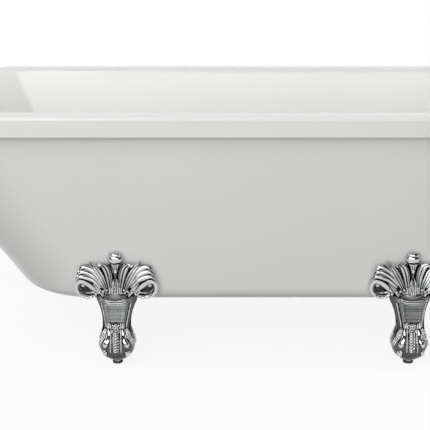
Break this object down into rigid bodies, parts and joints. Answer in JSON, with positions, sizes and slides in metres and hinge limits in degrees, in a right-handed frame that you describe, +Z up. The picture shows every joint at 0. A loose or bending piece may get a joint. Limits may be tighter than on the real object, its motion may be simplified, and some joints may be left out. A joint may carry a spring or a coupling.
{
  "type": "freestanding bath",
  "caption": "Freestanding double-skinned bath with a sloping rounded head end, a square tap end, a deep lip and ornate chrome claw-and-ball legs, with pop-up waste and overflow.",
  "frame": {"origin": "on the floor under the middle of the rim", "axes": "+X along the bath to the tap end, -X to the sloping head end, -Y to the room side, +Z up"},
  "size_m": [1.695, 0.74, 0.6],
  "materials": {
    "white_acrylic": "thermoformed gloss",
    "plywood": "sanded plywood",
    "leg_chrome": "cast, polished and chrome plated",
    "zinc_steel": "zinc plated",
    "black_nylon": "moulded",
    "waste_chrome": "polished",
    "black_rubber": "moulded",
    "white_polypropylene": "moulded",
    "cable_sheath": "extruded"
  },
  "bodies": {
    "bath": {"inner_tub": "white_acrylic", "outer_skin": "white_acrylic", "rim_batten": "plywood", "base_board": "plywood", "leg_anchor_blocks": "plywood", "leg_front_left": "leg_chrome", "leg_front_right": "leg_chrome", "leg_rear_left": "leg_chrome", "leg_rear_right": "leg_chrome", "leg_bolts": "zinc_steel", "leg_washers": "zinc_steel", "leg_nuts": "zinc_steel", "overflow_screws": "zinc_steel", "waste_flange": "waste_chrome", "overflow_faceplate": "waste_chrome", "waste_flange_seal": "black_rubber", "waste_lower_seal": "black_rubber", "overflow_seal": "black_rubber", "waste_body": "white_polypropylene", "overflow_body": "white_polypropylene", "overflow_pipe": "white_polypropylene", "pipe_nuts": "white_polypropylene", "pop_up_cable": "cable_sheath"},
    "plug": {"plug": "waste_chrome", "plug_seal": "black_rubber", "plug_stem": "zinc_steel"},
    "knob": {"overflow_knob": "waste_chrome", "cable_drum": "black_nylon"},
    "lever": {"lift_lever": "black_nylon", "lever_pin": "zinc_steel"},
    "foot_front_left": {"leveller_front_left": "zinc_steel", "leveller_pad_front_left": "black_nylon"},
    "foot_front_right": {"leveller_front_right": "zinc_steel", "leveller_pad_front_right": "black_nylon"},
    "foot_rear_left": {"leveller_rear_left": "zinc_steel", "leveller_pad_rear_left": "black_nylon"},
    "foot_rear_right": {"leveller_rear_right": "zinc_steel", "leveller_pad_rear_right": "black_nylon"}
  },
  "joints": [
    {"name": "knob_turn", "type": "hinge", "parent": "bath", "child": "knob", "pos_m": [0.7255, 0, 0.5], "axis": [1, 0, 0], "range_deg": [0, 90]},
    {"name": "plug_lift", "type": "slide", "parent": "bath", "child": "plug", "axis": [0, 0, 1], "range_m": [0, 0.01]},
    {"name": "lever_swing", "type": "hinge", "parent": "bath", "child": "lever", "pos_m": [0.5925, 0, 0.1385], "axis": [0, 1, 0], "range_deg": [0, 26]},
    {"name": "foot_front_left_screw", "type": "slide", "parent": "bath", "child": "foot_front_left", "axis": [0, 0, 1], "range_m": [-0.012, 0]},
    {"name": "foot_front_right_screw", "type": "slide", "parent": "bath", "child": "foot_front_right", "axis": [0, 0, 1], "range_m": [-0.012, 0]},
    {"name": "foot_rear_left_screw", "type": "slide", "parent": "bath", "child": "foot_rear_left", "axis": [0, 0, 1], "range_m": [-0.012, 0]},
    {"name": "foot_rear_right_screw", "type": "slide", "parent": "bath", "child": "foot_rear_right", "axis": [0, 0, 1], "range_m": [-0.012, 0]}
  ],
  "couplings": [
    {"joint": "plug_lift", "follows": "knob_turn", "m_per_rad": 0.00636},
    {"joint": "lever_swing", "follows": "knob_turn", "ratio": 0.2885}
  ]
}
